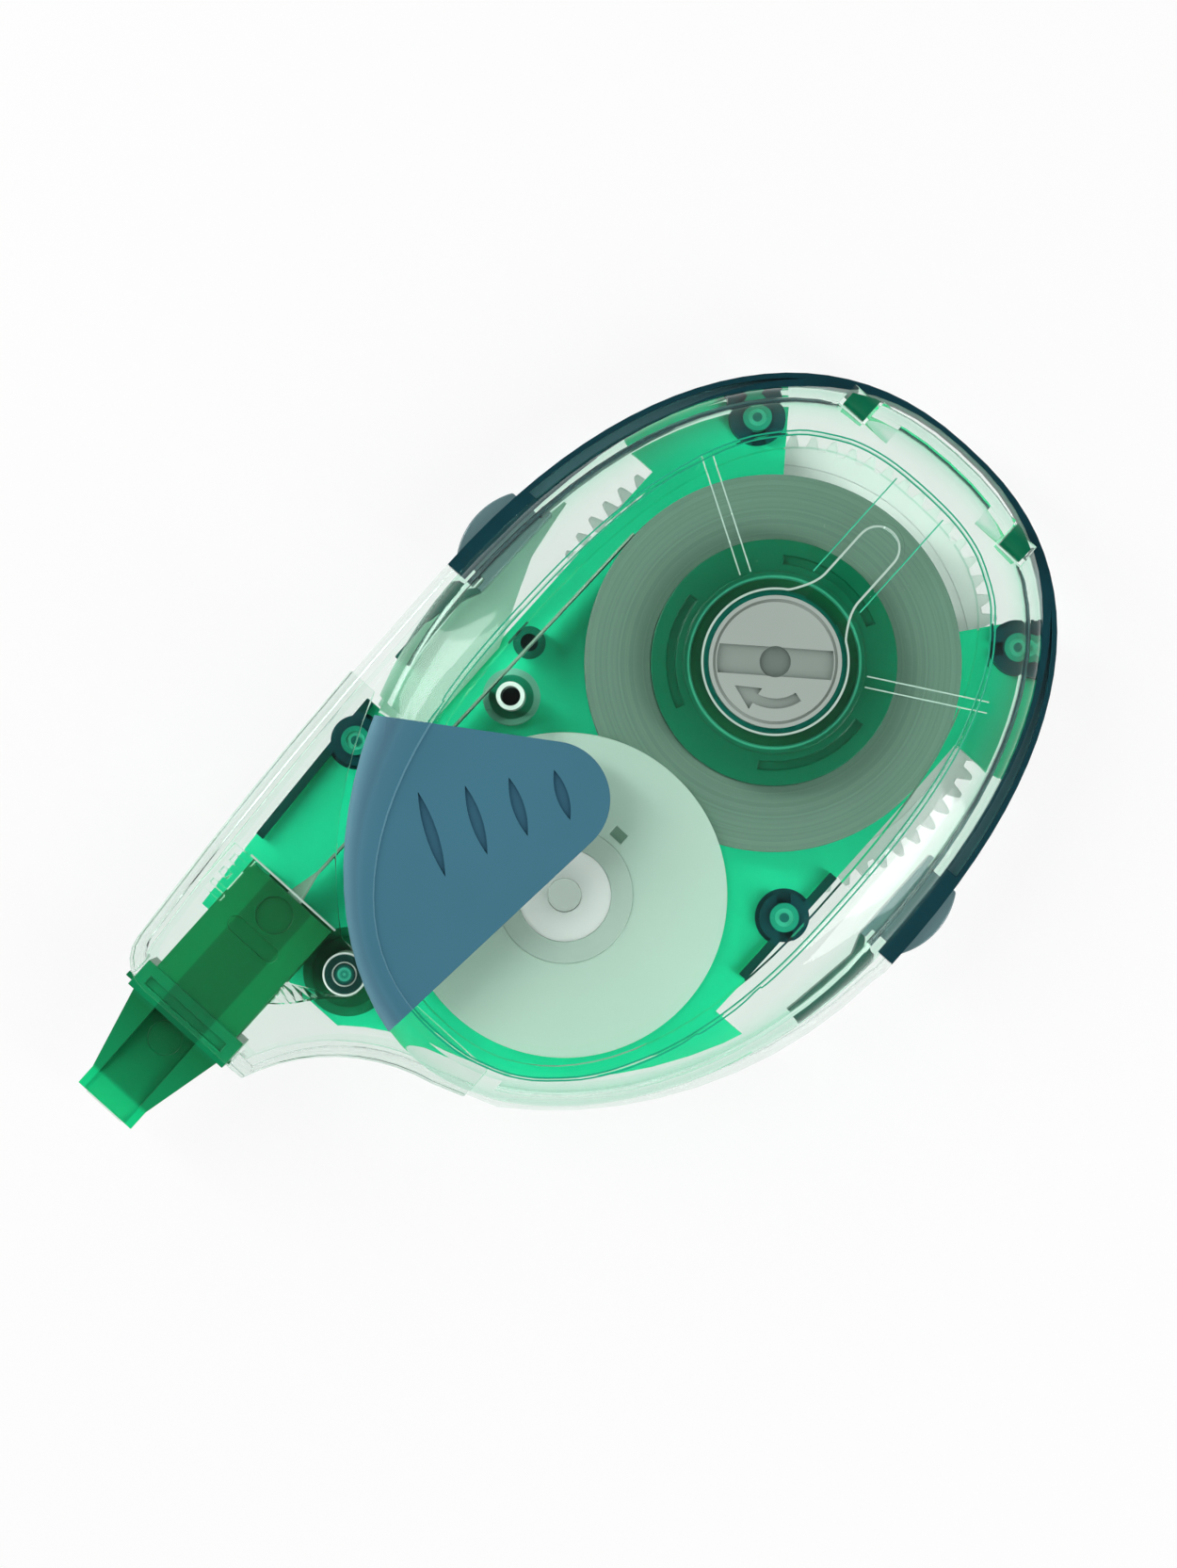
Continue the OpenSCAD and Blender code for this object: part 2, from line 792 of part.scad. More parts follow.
module gear_plan(teeth) {
    pitch = gear_module * teeth / 2;
    radii = [pitch - 1.2 * gear_module, pitch - 0.3 * gear_module, pitch + 0.3 * gear_module,
        pitch + 0.95 * gear_module];
    polygon([for (i = [0:teeth - 1])
        let (a = 360 * i / teeth)
        each concat(
            [for (k = [0:3]) polar(radii[k], a - tooth_half(teeth, radii[k]))],
            [for (k = [3:-1:0]) polar(radii[k], a + tooth_half(teeth, radii[k]))])]);
}

clutch_r = hub_r + 3.4;
ring_t = 0.4;
hub_top = knob_top - 2.3;
stem_r = hub_r - 1.6;

module drive_gear() {
    color("#d9e2dc")
    difference() {
        union() {
            translate([0, 0, gear_z])
                linear_extrude(gear_t)
                    rotate(180)
                        gear_plan(drive_teeth);
            post([0, 0], clutch_r, gear_z, flange_z - ring_t - 0.1);
            post([0, 0], hub_r, gear_z, hub_top);
        }
        post([0, 0], spindle_r + run_gap, 0, far);
        post([0, 0], stem_r, upper_flange_z + 0.2, far);
        tube([0, 0], drive_r - 2.4, clutch_r + 1, gear_top - 0.7, far);
    }
}

module clutch_ring() {
    color("#4a4f4d")
    tube([0, 0], clutch_r - 0.4, hub_r + 0.2, flange_z - ring_t - 0.1, flange_z - 0.1);
}

module slack_knob() {
    bar_angle = -52;
    bar_w = 2.6;
    color("#a4b1aa")
    difference() {
        union() {
            post([0, 0], knob_r, hub_top, knob_top);
            post([0, 0], stem_r, upper_flange_z + 0.2, knob_top);
        }
        intersection() {
            post([0, 0], knob_r - 0.7, knob_top - 0.5, far);
            rotate(bar_angle)
                block(-far / 2, far / 2, -bar_w / 2, bar_w / 2, 0, far);
        }
        post([0, 0], 1.4, knob_top - 0.9, far);
        tube([0, 0], knob_r - 0.35, knob_r - 0.6, knob_top - 0.2, far);
        translate([0, 0, knob_top - 0.4])
            linear_extrude(far) {
                intersection() {
                    difference() {
                        circle(4.2);
                        circle(3.3);
                    }
                    wedge(knob_r, 222, 33);
                }
                translate(polar(3.75, 189))
                    rotate(189 - 90)
                        polygon([[-0.3, -1.1], [1.9, 0], [-0.3, 1.1]]);
            }
    }
}

// Supply reel
module supply_core() {
    slot_mid = core_r - core_wall - 0.6;
    color("#0a6a3c")
    difference() {
        union() {
            tube([0, 0], core_r, core_r - core_wall, flange_z, core_top);
            tube([0, 0], core_flange_r, hub_r + run_gap, flange_z, flange_z + flange_t);
            tube([0, 0], hub_r + 1.2, hub_r + run_gap, flange_z, core_top);
            tube([0, 0], core_r, hub_r + run_gap, core_top - 1.2, core_top);
            tube([0, 0], hub_r + 3.2, hub_r + 2.6, core_top - 1.2, core_top + 0.3);
        }
        translate([0, 0, core_top - 0.5])
            linear_extrude(far)
                for (a = [5, 125, 245])
                    intersection() {
                        difference() {
                            circle(slot_mid + 0.4);
                            circle(slot_mid - 0.4);
                        }
                        wedge(core_r, a, 32);
                    }
    }
}

module tape_roll() {
    color("#71967f")
    tube([0, 0], roll_r, core_r, tape_z, tape_top);
}

// Take-up reel
sleeve_r = takeup_hub_r - 2;

module take_up_gear() {
    color("#d9e2dc")
    translate([takeup_x, 0, 0])
        difference() {
            union() {
                translate([0, 0, gear_z])
                    linear_extrude(gear_t)
                        rotate(180 / takeup_teeth)
                            gear_plan(takeup_teeth);
                post([0, 0], sleeve_r, gear_z, upper_flange_z + flange_t);
            }
            post([0, 0], takeup_spindle_r + run_gap, 0, far);
        }
}

module take_up_hub() {
    color("#c7d8cc")
    translate([takeup_x, 0, 0]) {
        tube([0, 0], takeup_hub_r, sleeve_r, flange_z, upper_flange_z + flange_t);
        tube([0, 0], takeup_flange_r, sleeve_r, flange_z, flange_z + flange_t);
    }
}

module take_up_flange() {
    color("#b7cfc1", 0.6)
    translate([takeup_x, 0, 0])
        difference() {
            tube([0, 0], takeup_flange_r, takeup_hub_r, upper_flange_z, upper_flange_z + flange_t);
            block(takeup_hub_r + 0.6, takeup_hub_r + 1.6, -0.7, 0.7, 0, far);
        }
}

module carrier_winding() {
    color("#dfe6e2", 0.7)
    translate([takeup_x, 0, 0])
        tube([0, 0], winding_r, takeup_hub_r, tape_z, tape_top);
}

// Release buttons and their leaf springs; side is 1 for the upper one, -1 for the lower one
function rim_y(side) = side > 0 ? case_up : case_down;
function button_foot(side) = rim_y(side) - 3.9;

module button(side) {
    face = rim_y(side) + button_rise;
    arc_r = (button_half * button_half + button_rise * button_rise) / (2 * button_rise);
    flange_y = button_foot(side);
    translate([button_x, case_mid[1], button_z])
        mirror([0, side > 0 ? 0 : 1, 0]) {
            intersection() {
                translate([0, face - arc_r, 0])
                    cylinder(r = arc_r, h = button_h, $fn = 128);
                block(-button_half, button_half, flange_y, face, 0, button_h);
            }
            block(-button_half - 1, button_half + 1, flange_y, flange_y + 0.6, 0, button_h);
        }
}

module leaf_spring(side) {
    y = button_foot(side);
    lean = side > 0 ? 1.3 : -0.2;
    swell = side > 0 ? 2.1 : 1.9;
    root = -button_half - 1;
    reach = 14.5;
    translate([button_x, case_mid[1], button_z])
        mirror([0, side > 0 ? 0 : 1, 0])
            prism([
                [root, y],
                [root, y + 0.6],
                [root - 1.2, y + swell],
                [-reach, y + lean + 0.6],
                [-reach, y + lean],
                [root - 2, y + swell - 1.1]], 0.2, button_h - 0.2);
}

module latch_button_upper() {
    color("#8fb0b0")
    button(1);
}

module latch_spring_upper() {
    color("#0d5a45")
    leaf_spring(1);
}

module latch_button_lower() {
    color("#8fb0b0")
    button(-1);
}

module latch_spring_lower() {
    color("#0d5a45")
    leaf_spring(-1);
}

back_shell();
nose_cover();
rim_band();
hinge_bracket();
cartridge_frame();
tape_guard();
applicator_head();
tape_feed_run();
carrier_return_run();
guide_roller();
front_lid();
grip_pad();
drive_gear();
clutch_ring();
slack_knob();
supply_core();
tape_roll();
take_up_gear();
take_up_hub();
take_up_flange();
carrier_winding();
latch_button_upper();
latch_spring_upper();
latch_button_lower();
latch_spring_lower();
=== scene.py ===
import json
import math

import bmesh
import bpy
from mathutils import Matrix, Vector


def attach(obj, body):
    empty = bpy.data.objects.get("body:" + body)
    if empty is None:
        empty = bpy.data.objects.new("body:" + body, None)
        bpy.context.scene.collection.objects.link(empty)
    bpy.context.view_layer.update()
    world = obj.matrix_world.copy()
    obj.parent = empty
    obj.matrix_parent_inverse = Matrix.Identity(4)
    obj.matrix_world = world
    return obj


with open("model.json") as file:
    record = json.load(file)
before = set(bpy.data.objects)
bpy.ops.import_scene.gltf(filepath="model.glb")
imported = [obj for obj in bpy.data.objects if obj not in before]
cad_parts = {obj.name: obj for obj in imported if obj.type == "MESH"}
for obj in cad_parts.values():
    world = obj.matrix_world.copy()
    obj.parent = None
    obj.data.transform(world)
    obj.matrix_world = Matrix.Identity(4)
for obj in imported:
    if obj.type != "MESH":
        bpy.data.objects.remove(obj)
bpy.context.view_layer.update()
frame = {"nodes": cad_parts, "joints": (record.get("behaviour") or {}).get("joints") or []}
nodes = frame["nodes"]


# Back shell: the clear tray that carries both spindles and the locating pins. It is injection moulded
# polystyrene, with polished faces, softened edges and the faint drift of a large flat moulding.
MM = 0.001
WELD_GAP = 0.002 * MM
FLAT_ANGLE = math.radians(1)
SHARP_ANGLE = math.radians(32)


def tone(red, green, blue):
    """A finish colour as a paint chart gives it, 0 to 255, in the linear values that a shader takes."""
    chart = [c / 255 for c in (red, green, blue)]
    return [c / 12.92 if c <= 0.04045 else ((c + 0.055) / 1.055) ** 2.4 for c in chart] + [1]


def ease_edges(piece, radius, steps=2):
    """Welds a CAD node's loose triangles, rounds its sharp edges as a mould does and shades it smooth."""
    if "custom_normal" in piece.data.attributes:
        piece.data.attributes.remove(piece.data.attributes["custom_normal"])
    piece.data.shade_smooth()
    weld = piece.modifiers.new("welded", "WELD")
    weld.merge_threshold = WELD_GAP
    flats = piece.modifiers.new("flats", "DECIMATE")
    flats.decimate_type = "DISSOLVE"
    flats.angle_limit = FLAT_ANGLE
    edge = piece.modifiers.new("eased_edge", "BEVEL")
    edge.width = radius * MM
    edge.segments = steps
    edge.limit_method = "ANGLE"
    edge.angle_limit = SHARP_ANGLE
    edge.harden_normals = True


def flow_marks_group():
    """Slow flow marks and fine tool grain: how a moulded face drifts in colour, gloss and level."""
    group = bpy.data.node_groups.new("flow_marks", "ShaderNodeTree")
    for name, kind, value in [
        ("Light", "NodeSocketColor", (0.8, 0.8, 0.8, 1)),
        ("Dark", "NodeSocketColor", (0.6, 0.6, 0.6, 1)),
        ("Mark Size", "NodeSocketFloat", 60),
        ("Gloss Low", "NodeSocketFloat", 0.3),
        ("Gloss High", "NodeSocketFloat", 0.4),
        ("Grain Size", "NodeSocketFloat", 900),
    ]:
        group.interface.new_socket(name, in_out="INPUT", socket_type=kind).default_value = value
    for name, kind in [
        ("Colour", "NodeSocketColor"),
        ("Roughness", "NodeSocketFloat"),
        ("Height", "NodeSocketFloat"),
    ]:
        group.interface.new_socket(name, in_out="OUTPUT", socket_type=kind)
    made, link = group.nodes.new, group.links.new
    given, given_out = made("NodeGroupInput"), made("NodeGroupOutput")
    place = made("ShaderNodeTexCoord")
    drift, grain = made("ShaderNodeTexNoise"), made("ShaderNodeTexNoise")
    drift.inputs["Detail"].default_value = 3
    grain.inputs["Detail"].default_value = 4
    blend = made("ShaderNodeMix")
    blend.data_type = "RGBA"
    gloss = made("ShaderNodeMapRange")
    grain_depth = 0.25
    level = made("ShaderNodeMath")
    level.operation = "MULTIPLY_ADD"
    level.inputs[1].default_value = grain_depth
    link(place.outputs["Object"], drift.inputs["Vector"])
    link(place.outputs["Object"], grain.inputs["Vector"])
    link(given.outputs["Mark Size"], drift.inputs["Scale"])
    link(given.outputs["Grain Size"], grain.inputs["Scale"])
    link(drift.outputs["Fac"], blend.inputs["Factor"])
    link(given.outputs["Dark"], blend.inputs["A"])
    link(given.outputs["Light"], blend.inputs["B"])
    link(grain.outputs["Fac"], gloss.inputs["Value"])
    link(given.outputs["Gloss Low"], gloss.inputs["To Min"])
    link(given.outputs["Gloss High"], gloss.inputs["To Max"])
    link(grain.outputs["Fac"], level.inputs[0])
    link(drift.outputs["Fac"], level.inputs[2])
    link(blend.outputs["Result"], given_out.inputs["Colour"])
    link(gloss.outputs["Result"], given_out.inputs["Roughness"])
    link(level.outputs["Value"], given_out.inputs["Height"])
    return group


flow_marks = flow_marks_group()


def placed(material, group):
    """Sets a node group in a material, ready for its own values."""
    node = material.node_tree.nodes.new("ShaderNodeGroup")
    node.node_tree = group
    return node


def moulded(name, light, dark, gloss, mark_size=60, grain_size=900, relief=0.02, clear=0, ior=1.5, polish=0):
    """A moulded plastic with flow marks. Above 0, clear is the share of light that passes through it."""
    material = bpy.data.materials.new(name)
    material.use_nodes = True
    tree = material.node_tree
    shader = tree.nodes["Principled BSDF"]
    marks = placed(material, flow_marks)
    marks.inputs["Light"].default_value = tone(*light)
    marks.inputs["Dark"].default_value = tone(*dark)
    marks.inputs["Mark Size"].default_value = mark_size
    marks.inputs["Gloss Low"].default_value = gloss[0]
    marks.inputs["Gloss High"].default_value = gloss[1]
    marks.inputs["Grain Size"].default_value = grain_size
    shader.inputs["IOR"].default_value = ior
    shader.inputs["Transmission Weight"].default_value = clear
    shader.inputs["Specular IOR Level"].default_value = 0.5 if clear else 0.25
    shader.inputs["Coat Weight"].default_value = polish
    tree.links.new(marks.outputs["Colour"], shader.inputs["Base Color"])
    tree.links.new(marks.outputs["Roughness"], shader.inputs["Roughness"])
    if not clear:
        bump = tree.nodes.new("ShaderNodeBump")
        bump.inputs["Strength"].default_value = 0.3
        bump.inputs["Distance"].default_value = relief * MM
        tree.links.new(marks.outputs["Height"], bump.inputs["Height"])
        tree.links.new(bump.outputs["Normal"], shader.inputs["Normal"])
    return material


def let_lamps_through(material, tint):
    """Lamps shine through a clear wall without casting its shadow, as they do through a thin moulding."""
    tree = material.node_tree
    path = tree.nodes.new("ShaderNodeLightPath")
    open_wall = tree.nodes.new("ShaderNodeBsdfTransparent")
    open_wall.inputs["Color"].default_value = tone(*tint)
    choice = tree.nodes.new("ShaderNodeMixShader")
    tree.links.new(path.outputs["Is Shadow Ray"], choice.inputs[0])
    tree.links.new(tree.nodes["Principled BSDF"].outputs["BSDF"], choice.inputs[1])
    tree.links.new(open_wall.outputs["BSDF"], choice.inputs[2])
    tree.links.new(choice.outputs["Shader"], tree.nodes["Material Output"].inputs["Surface"])
    return material


def lay_over(material, colour, share=1, way="MIX"):
    """Mixes a second colour into a finish. Colour and share are plain values or outputs of other nodes."""
    tree = material.node_tree
    base = tree.nodes["Principled BSDF"].inputs["Base Color"]
    blend = tree.nodes.new("ShaderNodeMix")
    blend.data_type = "RGBA"
    blend.blend_type = way
    tree.links.new(base.links[0].from_socket, blend.inputs["A"])
    for socket, given in (("B", colour), ("Factor", share)):
        if isinstance(given, bpy.types.NodeSocket):
            tree.links.new(given, blend.inputs[socket])
        else:
            blend.inputs[socket].default_value = given
    tree.links.new(blend.outputs["Result"], base)
    return material


def steep_faces_group():
    """1 on steep faces and rounded edges, 0 on level faces: where edge light is painted."""
    group = bpy.data.node_groups.new("steep_faces", "ShaderNodeTree")
    group.interface.new_socket("Mask", in_out="OUTPUT", socket_type="NodeSocketFloat")
    made, link = group.nodes.new, group.links.new
    given_out, place = made("NodeGroupOutput"), made("ShaderNodeTexCoord")
    apart, upright = made("ShaderNodeSeparateXYZ"), made("ShaderNodeMath")
    upright.operation = "ABSOLUTE"
    slope = made("ShaderNodeMapRange")
    slope.inputs["From Min"].default_value = 0.5
    slope.inputs["From Max"].default_value = 0.97
    slope.inputs["To Min"].default_value = 1
    slope.inputs["To Max"].default_value = 0
    link(place.outputs["Normal"], apart.inputs["Vector"])
    link(apart.outputs["Z"], upright.inputs[0])
    link(upright.outputs["Value"], slope.inputs["Value"])
    link(slope.outputs["Result"], given_out.inputs["Mask"])
    return group


steep_faces = steep_faces_group()


def edge_lit(material, tint):
    """Paints steep faces and rounded edges another colour: painted edge light. Clear plastic gets the green
    that light shows at its edges, and rubber gets a paler painted highlight on its rounded edge.
    """
    return lay_over(material, tone(*tint), placed(material, steep_faces).outputs["Mask"])


def finish(piece, material):
    """Gives a piece its one finish."""
    piece.data.materials.clear()
    piece.data.materials.append(material)


# The low index keeps the view through the curved walls straight, and the polish gives them their shine.
clear_case = moulded(
    "clear_case", (247, 251, 249), (240, 247, 243), (0.02, 0.05), 35, 300, clear=1, ior=1.13, polish=0.4)
# The green tint on steep faces is painted edge light, partly the plastic's own green seen through its
# thickness.
let_lamps_through(edge_lit(clear_case, (220, 245, 233)), (245, 250, 247))
ease_edges(nodes["back_shell"], 0.25)
finish(nodes["back_shell"], clear_case)


# Nose cover: the clear roof over the applicator's shank. It snaps to the back shell in front of the lid
# and is moulded in the same clear plastic, with a small clip on its top.
ease_edges(nodes["nose_cover"], 0.15)
finish(nodes["nose_cover"], clear_case)


# Rim band: the dark petrol-blue channel between the back shell and the lid. It is an opaque moulding that
# wraps the rear of the case and stops at the two release buttons. A pale slate stripe at its groove is a
# painted highlight.
def place_on_piece_group():
    """Where a point lies: its x, y and z from a centre, and its distance from the upright axis there."""
    group = bpy.data.node_groups.new("place_on_piece", "ShaderNodeTree")
    group.interface.new_socket("Centre", in_out="INPUT", socket_type="NodeSocketVector")
    for name in ("X", "Y", "Z", "Radius"):
        group.interface.new_socket(name, in_out="OUTPUT", socket_type="NodeSocketFloat")
    made, link = group.nodes.new, group.links.new
    given, given_out = made("NodeGroupInput"), made("NodeGroupOutput")
    place, apart = made("ShaderNodeTexCoord"), made("ShaderNodeSeparateXYZ")
    shift = made("ShaderNodeVectorMath")
    shift.operation = "SUBTRACT"
    level = made("ShaderNodeVectorMath")
    level.operation = "MULTIPLY"
    level.inputs[1].default_value = (1, 1, 0)
    length = made("ShaderNodeVectorMath")
    length.operation = "LENGTH"
    link(place.outputs["Object"], shift.inputs[0])
    link(given.outputs["Centre"], shift.inputs[1])
    link(shift.outputs["Vector"], apart.inputs["Vector"])
    link(shift.outputs["Vector"], level.inputs[0])
    link(level.outputs["Vector"], length.inputs[0])
    for name in ("X", "Y", "Z"):
        link(apart.outputs[name], given_out.inputs[name])
    link(length.outputs["Value"], given_out.inputs["Radius"])
    return group


place_on_piece = place_on_piece_group()


def measured(material, measure, centre):
    """X, Y or Z on a piece, or the Radius from an upright axis at a centre in millimetres."""
    place = placed(material, place_on_piece)
    place.inputs["Centre"].default_value = (centre[0] * MM, centre[1] * MM, 0)
    return place.outputs[measure]


def ramp_over(material, distance, stops):
    """A colour that follows a distance. Stops are (mm, colour)."""
    tree = material.node_tree
    first, last = stops[0][0], stops[-1][0]
    span = tree.nodes.new("ShaderNodeMapRange")
    span.inputs["From Min"].default_value = first * MM
    span.inputs["From Max"].default_value = last * MM
    ramp = tree.nodes.new("ShaderNodeValToRGB")
    for k, (at, colour) in enumerate(stops):
        share = (at - first) / (last - first)
        if k == 0:
            element = ramp.color_ramp.elements[0]
        elif k == len(stops) - 1:
            element = ramp.color_ramp.elements[-1]
        else:
            element = ramp.color_ramp.elements.new(share)
        element.position = share
        element.color = tone(*colour)
    tree.links.new(distance, span.inputs["Value"])
    tree.links.new(span.outputs["Result"], ramp.inputs["Fac"])
    return ramp.outputs["Color"]


def graded(material, measure, stops, centre=(0, 0)):
    """Grades a finish along X, Y or Z, or by the Radius from an upright axis. Stops are (mm, colour)."""
    distance = measured(material, measure, centre)
    return lay_over(material, ramp_over(material, distance, stops), way="MULTIPLY")


def stretches(*spans):
    """Stops for stretches of one colour each. Spans are (from, to, colour)."""
    return [(at, colour) for start, end, colour in spans for at in (start, end)]


FULL, DULL = (255, 255, 255), (228, 228, 228)
foot_blue, groove_highlight, lip_blue, top_blue = (8, 52, 62), (92, 138, 145), (8, 54, 64), (10, 58, 68)
band_blue = moulded("band_blue", FULL, DULL, (0.25, 0.36), 80)
# The pale slate stripe from 9.5 to 9.75 mm is a painted highlight along the groove.
graded(band_blue, "Z", [
    (6.4, foot_blue), *stretches((9.5, 9.75, groove_highlight)), (9.9, lip_blue), (10.4, top_blue)])
ease_edges(nodes["rim_band"], 0.12)
finish(nodes["rim_band"], band_blue)


# Hinge bracket: the green arc with two lugs at the rear of the case, in which the lid's stubs turn. It is
# moulded in the head's green and glued on the back shell's wall. Its low arc is painted bright, a painted
# light that lifts the shade it lies in between the walls, and the bracket has a painted glow in its own
# green.
def painted_glow(material, share):
    """Makes a piece glow in its own colour: a painted light that lifts its shade. Share is the emission
    strength.
    """
    tree = material.node_tree
    shader = tree.nodes["Principled BSDF"]
    tree.links.new(shader.inputs["Base Color"].links[0].from_socket, shader.inputs["Emission Color"])
    shader.inputs["Emission Strength"].default_value = share
    return material


arc_painted_bright, lug_foot, lug_top = (40, 232, 162), (6, 104, 72), (6, 92, 64)
lug_green = moulded("lug_green", FULL, DULL, (0.2, 0.3), 90)
# The low arc is painted bright to lift the shade it lies in between the walls.
graded(lug_green, "Z", [*stretches((6.4, 8.8, arc_painted_bright)), (9.6, lug_foot), (13.4, lug_top)])
# A painted glow in the bracket's own green.
painted_glow(lug_green, 0.3)
ease_edges(nodes["hinge_bracket"], 0.1)
finish(nodes["hinge_bracket"], lug_green)


# Cartridge frame: the bright green plate that holds the reels, the roller pin and the guide post. It is a
# translucent moulding, so it is pale where it is thin, and dark at its ribs and at the bosses on the pins.
# Rings are painted round the roller's pin and the guide post: painted highlights on the pin end and the
# post's rim, and painted shade in the post's bore and in a darker ring round the roller.
def spot(material, centre, stops):
    """Lays rings of colour round an upright axis over a finish, out to the last stop."""
    tree = material.node_tree
    distance = measured(material, "Radius", centre)
    inside = tree.nodes.new("ShaderNodeMath")
    inside.operation = "LESS_THAN"
    inside.inputs[1].default_value = stops[-1][0] * MM
    tree.links.new(distance, inside.inputs[0])
    return lay_over(material, ramp_over(material, distance, stops), inside.outputs["Value"])


def axis_of(joint_name):
    """Where a joint's upright axis stands, in millimetres along x and y."""
    place = next(joint["pos_m"] for joint in frame["joints"] if joint["name"] == joint_name)
    return place[0] / MM, place[1] / MM


plate_green, rib_foot, rib_top = (32, 236, 174), (0, 80, 66), (0, 70, 62)
frame_green = moulded("frame_green", FULL, DULL, (0.2, 0.3), 45)
graded(frame_green, "Z", [*stretches((5.2, 6.45, plate_green)), (6.8, rib_foot), (7.65, rib_top)])

pin_bosses = [(-30.6, 23.6), (-16.4, -16.4), (16.1, 16.2), (16.4, -15.9)]
pin_teal, pin_mint, bore_green, boss_inner, boss_outer = (
    (10, 104, 92), (64, 200, 164), (20, 150, 118), (5, 62, 68), (6, 72, 74))
for boss in pin_bosses:
    spot(frame_green, boss, [
        *stretches((0, 0.4, pin_teal), (0.48, 0.82, pin_mint), (0.9, 1.3, bore_green)),
        (1.38, boss_inner), (2.65, boss_outer)])

roller_axis = axis_of("guide_roller_spin")
# The pale rings on the roller's pin end are painted highlights, and the darker rings round it are painted
# shade from the roller.
pin_glint_rings = [
    (0, (70, 190, 160)), (0.25, (20, 120, 100)), (0.55, (60, 180, 150)), (0.7, (10, 80, 70)),
    (1, (8, 60, 55))]
seat_shade, collar_shade = (8, 98, 62), (14, 130, 86)
spot(frame_green, roller_axis, pin_glint_rings + stretches((1.1, 3.2, seat_shade), (3.3, 4.1, collar_shade)))

guide_post = (-18.1, 15.7)
hole_shade, post_rim_glint, post_green, post_halo_glint = (6, 26, 26), (214, 232, 222), (16, 140, 104), (120, 196, 170)
# The guide post's bore is painted shade, and its pale rim and halo are painted highlights.
spot(frame_green, guide_post, stretches(
    (0, 0.86, hole_shade), (0.92, 1.28, post_rim_glint), (1.34, 2, post_green), (2.1, 2.65, post_halo_glint)))

small_peg = (-13.3, 17.8)
peg_dark, peg_foot, peg_edge = (8, 52, 50), (14, 118, 92), (12, 110, 86)
spot(frame_green, small_peg, [*stretches((0, 0.76, peg_dark)), (0.84, peg_foot), (1.5, peg_edge)])
ease_edges(nodes["cartridge_frame"], 0.12)
finish(nodes["cartridge_frame"], frame_green)


# Tape guard: a thin frosted crescent that keeps the fresh tape off the rim. It is cut from sheet plastic and
# welded to the edge of the frame's plate.
guard_pale = moulded("guard_pale", (180, 224, 204), (164, 212, 190), (0.4, 0.5), 70, clear=0.35)
let_lamps_through(guard_pale, (204, 230, 217))
finish(nodes["tape_guard"], guard_pale)


# Applicator head: the blade, cheeks and collar that press the tape down. One piece in a stiff green plastic,
# fixed to the front of the cartridge frame. It is lightest at the thin blade edge and deep over the shank.
head_green = moulded("head_green", FULL, DULL, (0.25, 0.38), 90)
graded(head_green, "X", [
    (-70.5, (20, 220, 140)), (-68.6, (10, 210, 132)), (-68.2, (0, 150, 90)), (-65.2, (0, 140, 84)),
    (-61, (0, 118, 66)), (-60.4, (2, 138, 86)), (-57.8, (0, 126, 76)), (-57.4, (0, 124, 68)),
    (-50, (0, 122, 66)), (-44.8, (0, 112, 60))])
# The blade between the two cheeks is darkened with painted shade.
channel_shade = (206, 206, 206)
graded(head_green, "Y", stretches((12, 15.7, FULL), (15.85, 20.65, channel_shade), (20.8, 24.5, FULL)))
ease_edges(nodes["applicator_head"], 0.18)
finish(nodes["applicator_head"], head_green)


# Tape and carrier: the coated tape runs from the roll to the blade, and the bare film comes back round the
# roller. The coating is matt white, and grey-green like the roll where it stands on edge. The film is clear.
on_edge = (132, 166, 148)
coat_white = moulded("coat_white", (244, 246, 243), (232, 236, 232), (0.55, 0.7), 120)
graded(coat_white, "X", stretches((-71, -50, FULL), (-44, 1, on_edge)))
film_clear = moulded("film_clear", (250, 252, 250), (244, 248, 246), (0.06, 0.1), 120, clear=1, ior=1.12)
let_lamps_through(film_clear, (250, 252, 251))
finish(nodes["tape_feed_run"], coat_white)
finish(nodes["carrier_return_run"], film_clear)


# Guide roller: a small bush that turns on its pin and leads the spent film to the take-up reel. Its end
# face is dark, with painted highlights: a bright ring at its rim and another at the edge of the bore.
bore_glint, face_inner, face_outer, rim_glint = (226, 238, 231), (12, 58, 52), (14, 66, 58), (240, 246, 243)
roller_dark = moulded("roller_dark", FULL, DULL, (0.2, 0.3), 300)
graded(roller_dark, "Radius", [
    *stretches((0.9, 1.08, bore_glint)), (1.16, face_inner), (1.78, face_outer),
    *stretches((1.86, 2.1, rim_glint))], roller_axis)
ease_edges(nodes["guide_roller"], 0.08)
finish(nodes["guide_roller"], roller_dark)


# Front lid: the domed clear cover over both reels, hinged at the rear. It is moulded in the same clear
# plastic as the case, with a keyhole cut for the slack knob.
clear_lid = moulded(
    "clear_lid", (250, 253, 251), (244, 250, 247), (0.01, 0.04), 30, 300, clear=1, ior=1.06, polish=0.5)
# The green tint on steep faces is painted edge light, partly the plastic's own green seen through its
# thickness.
let_lamps_through(edge_lit(clear_lid, (184, 232, 210)), (248, 252, 250))
ease_edges(nodes["front_lid"], 0.28, 3)
finish(nodes["front_lid"], clear_lid)


